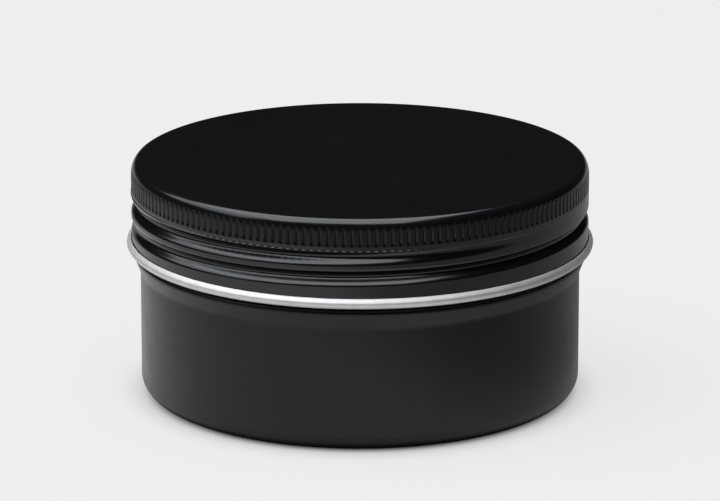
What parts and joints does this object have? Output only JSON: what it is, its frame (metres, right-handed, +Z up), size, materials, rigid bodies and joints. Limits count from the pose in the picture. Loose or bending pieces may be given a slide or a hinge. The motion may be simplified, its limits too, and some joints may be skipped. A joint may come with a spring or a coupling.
{
  "type": "shoe polish tin",
  "caption": "Low round screw tin of wax shoe polish: lacquered drawn cup with a stop bead, knurled threaded lid with a bare rolled edge, and a foam liner.",
  "frame": {"origin": "centre of the standing ring, on the plane that the tin stands on", "axes": "+Z up along the tin's axis, -Y towards the front in the picture, +X to its right"},
  "size_m": [0.0724, 0.0724, 0.0369],
  "materials": {
    "body_lacquer": "satin black lacquer on drawn aluminium, bare inside",
    "wax_polish": "smooth cast wax, slightly glossy",
    "lid_lacquer": "satin black lacquer on drawn aluminium, bare at the rolled edge and inside",
    "liner_foam": "matt white closed-cell foam"
  },
  "bodies": {
    "tin": {"tin_body": "body_lacquer", "polish": "wax_polish"},
    "liner": {"lid_liner": "liner_foam"},
    "lid": {"lid": "lid_lacquer"}
  },
  "joints": [
    {"name": "lid_rise", "type": "slide", "parent": "tin", "child": "liner", "axis": [0, 0, 1], "range_m": [0, 0.01905]},
    {"name": "lid_turn", "type": "hinge", "parent": "liner", "child": "lid", "pos_m": [0, 0, 0.03], "axis": [0, 0, 1], "range_deg": [0, 2160]}
  ],
  "couplings": [
    {"joint": "lid_rise", "follows": "lid_turn", "m_per_rad": 0.00050532}
  ]
}
